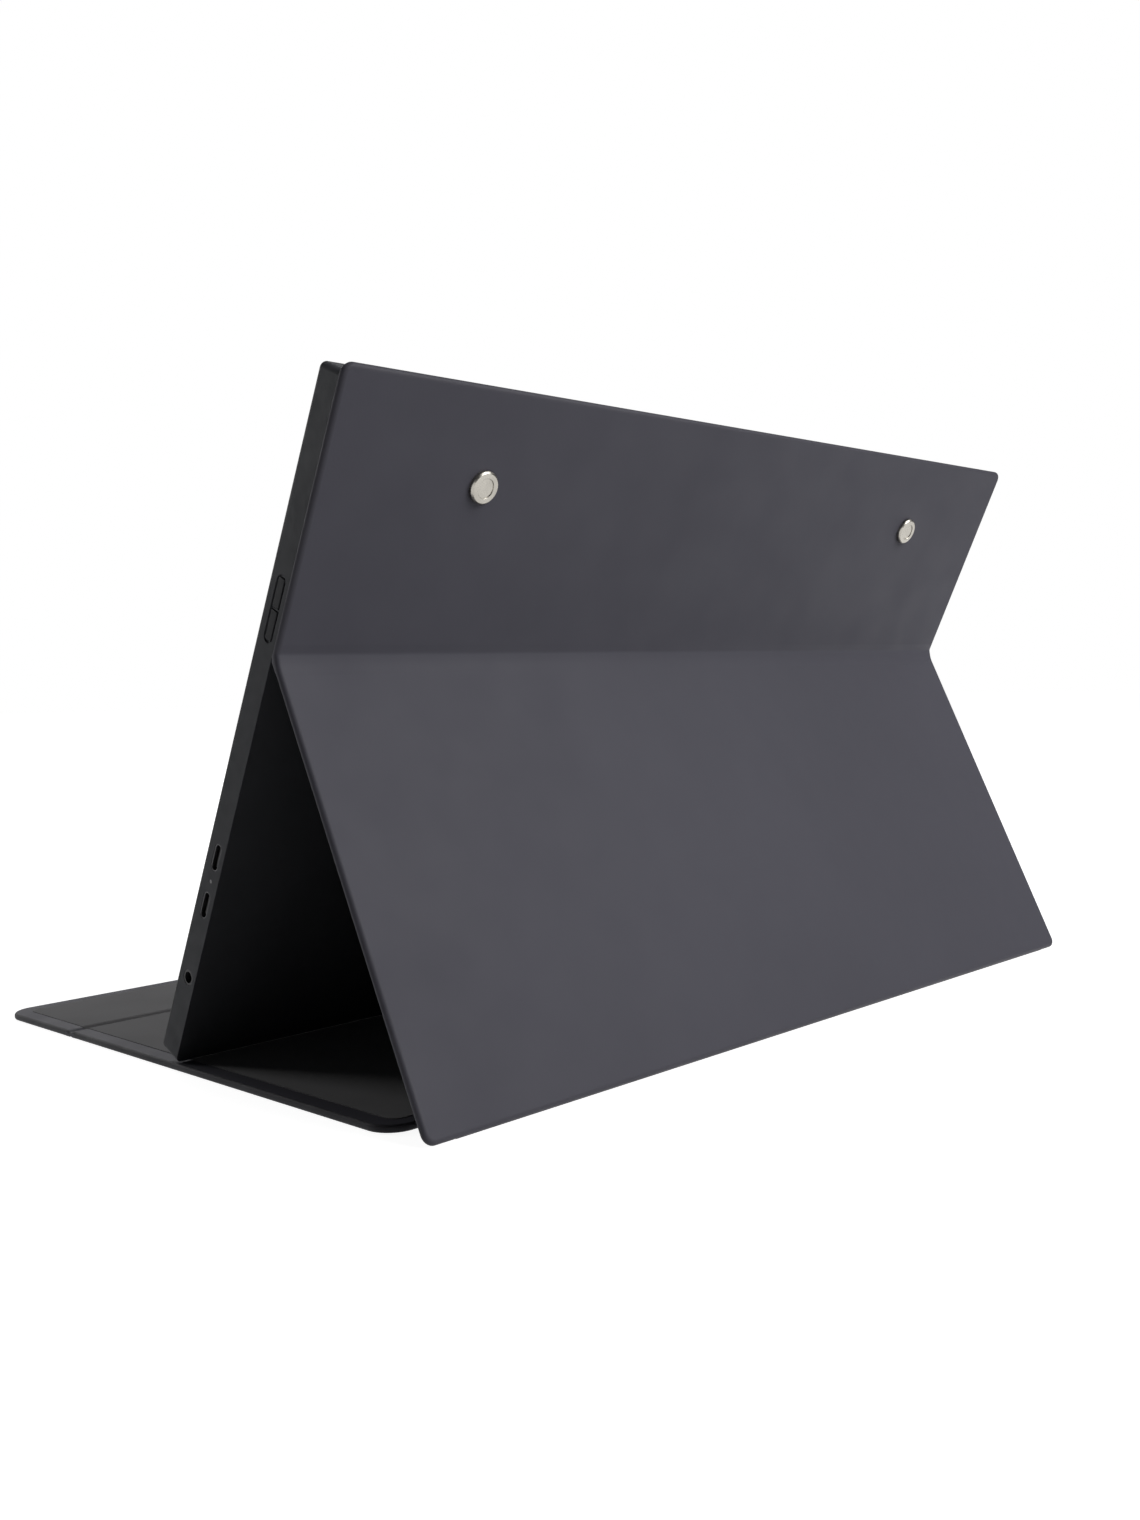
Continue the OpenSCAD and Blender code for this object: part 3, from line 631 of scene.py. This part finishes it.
crease = flat_fold("crease_strip", CREASE.y, WIDE)
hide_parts("crease_roll")
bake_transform(crease)
crease_felt = strip(
    "crease_lining_strip",
    [
        (dipped(CREASE.y, LYING_TOPS[1], LYING_TOPS[1] - 0.75, DIP), 0.1),
        (dipped(CREASE.y, LYING_TOPS[1] - PILE_DEEP, LYING_TOPS[1] - 1, DIP)[::-1], 0.05),
    ],
    WIDE - 2 * HEM, [PILE],
)
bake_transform(crease_felt)

# The monitor's own pieces: copies of the solids with their sharp edges taken off


def eased(name, node, materials, body, width, chosen, segments=3):
    """Copy of a node's solid whose chosen edges are rounded."""
    bm = bmesh.new()
    bm.from_mesh(nodes[node].data)
    bmesh.ops.remove_doubles(bm, verts=bm.verts, dist=1e-6)
    bmesh.ops.dissolve_limit(bm, angle_limit=math.radians(0.5), verts=bm.verts, edges=bm.edges)
    back = MONITOR.inverted()
    edges = []
    for edge in bm.edges:
        if len(edge.link_faces) == 2 and edge.calc_face_angle_signed() > math.radians(30):
            ends = [back @ v.co for v in edge.verts]
            if chosen(*ends):
                edges.append(edge)
    bmesh.ops.bevel(
        bm, geom=edges, offset=width * MM, affect="EDGES", segments=segments, profile=0.5,
        clamp_overlap=True, material=-1,
    )
    made = piece(name, bm, materials)
    made.modifiers.new("even_shade", "WEIGHTED_NORMAL").keep_sharp = True
    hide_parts(node)
    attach(made, body)
    return made


def flush(axis, level):
    """Chooses the edges that lie in one outer face."""
    return lambda a, b: abs(a[axis] - level) < 0.01 and abs(b[axis] - level) < 0.01


def front_rim(a, b):
    """Chooses the outer edge of the bezel's face."""
    outside = all(abs(p.x) > SIDE - 2.5 or p.z < 2.5 or p.z > HIGH - 2.5 for p in (a, b))
    return outside and flush(1, FRONT)(a, b)


eased("housing_shell", "rear_housing", [SHELL], "monitor", 0.35, flush(1, 0))
eased("bezel_frame", "front_bezel", [BEZEL], "monitor", 0.9, front_rim, 5)
for key in ("power_key", "menu_rocker"):
    # The key caps take the darker plastic of painted shade
    eased(key + "_cap", key, [SHADED_KEYS], key, 0.25, flush(0, SIDE - 0.05))
for high in ("high", "low"):
    eased(
        "socket_shell_" + high, "usb_socket_" + high, [DARK_STEEL], "monitor", 0.08,
        flush(0, SIDE - 0.1), 2,
    )
eased(
    "stud_heads", "cover_studs", [NICKEL], "monitor", 0.18,
    lambda a, b: min(a.y, b.y) > 2.5,
)

# Floor and light


def stage_floor():
    """Grey paper that keeps the shadow, and that the camera and gloss see as white."""
    bm = bmesh.new()
    bmesh.ops.create_circle(bm, cap_ends=True, segments=96, radius=6)
    bmesh.ops.translate(bm, vec=(0, 0, -0.0001), verts=bm.verts)
    mesh = bpy.data.meshes.new("floor")
    bm.to_mesh(mesh)
    bm.free()
    floor = bpy.data.objects.new("floor", mesh)
    bpy.context.scene.collection.objects.link(floor)
    paper = Finish("floor_paper", (0.45, 0.45, 0.45), 0.9, Specular_IOR_Level=0.0)
    glow = paper.node("ShaderNodeEmission")
    away = paper.node("ShaderNodeVectorMath", operation="LENGTH")
    paper.link(paper.place, away.inputs[0])
    even = paper.node("ShaderNodeMapRange")
    paper.link(away.outputs["Value"], even.inputs["Value"])
    for socket, value in (("From Min", 0.4), ("From Max", 1.2), ("To Min", 0.92), ("To Max", 1.0)):
        even.inputs[socket].default_value = value
    paper.link(even.outputs["Result"], glow.inputs["Strength"])
    seen = paper.node("ShaderNodeLightPath")
    both = paper.node("ShaderNodeAddShader")
    paper.link(paper.shader.outputs[0], both.inputs[0])
    paper.link(glow.outputs[0], both.inputs[1])
    pick = paper.node("ShaderNodeMixShader")
    bright = paper.node("ShaderNodeMath", operation="MAXIMUM")
    paper.link(seen.outputs["Is Camera Ray"], bright.inputs[0])
    paper.link(seen.outputs["Is Glossy Ray"], bright.inputs[1])
    paper.link(bright.outputs[0], pick.inputs[0])
    paper.link(paper.shader.outputs[0], pick.inputs[1])
    paper.link(both.outputs[0], pick.inputs[2])
    paper.link(pick.outputs[0], paper.tree.nodes["Material Output"].inputs["Surface"])
    mesh.materials.append(paper.made)


def studio_world():
    """White where the camera or glass looks at it, and a weak grey light elsewhere."""
    world = bpy.data.worlds.new("studio")
    bpy.context.scene.world = world
    world.use_nodes = True
    tree = world.node_tree
    light = tree.nodes["Background"]
    light.inputs["Color"].default_value = (0.95, 0.97, 1.0, 1)
    light.inputs["Strength"].default_value = 0.03
    white = tree.nodes.new("ShaderNodeBackground")
    white.inputs["Color"].default_value = (1, 1, 1, 1)
    seen = tree.nodes.new("ShaderNodeLightPath")
    either = tree.nodes.new("ShaderNodeMath")
    either.operation = "MAXIMUM"
    tree.links.new(seen.outputs["Is Camera Ray"], either.inputs[0])
    tree.links.new(seen.outputs["Is Transmission Ray"], either.inputs[1])
    pick = tree.nodes.new("ShaderNodeMixShader")
    tree.links.new(either.outputs[0], pick.inputs[0])
    tree.links.new(light.outputs[0], pick.inputs[1])
    tree.links.new(white.outputs[0], pick.inputs[2])
    tree.links.new(pick.outputs[0], tree.nodes["World Output"].inputs["Surface"])


def softbox(name, place, aim, size, power):
    """Rectangular lamp, sizes in metres and power in watts."""
    lamp = bpy.data.lights.new(name, "AREA")
    lamp.shape = "RECTANGLE"
    lamp.size, lamp.size_y = size
    lamp.energy = power
    made = bpy.data.objects.new(name, lamp)
    made.location = place
    made.rotation_euler = (Vector(aim) - Vector(place)).to_track_quat("-Z", "Y").to_euler()
    bpy.context.scene.collection.objects.link(made)


stage_floor()
studio_world()
softbox("high_light", (-0.5, 0.8, 1.3), (0, 0, 0.05), (1.2, 1.0), 8.5)
softbox("back_light", (-0.5, 1.5, 0.9), (0, 0.1, 0.08), (1.2, 0.9), 18)
softbox("front_light", (-0.3, -1.4, 1.0), (0, 0, 0.1), (1.4, 0.9), 10)
softbox("side_light", (0.9, -1.7, 0.7), (0, 0, 0.1), (0.6, 0.7), 7.7)

bpy.context.scene.view_settings.view_transform = "Standard"
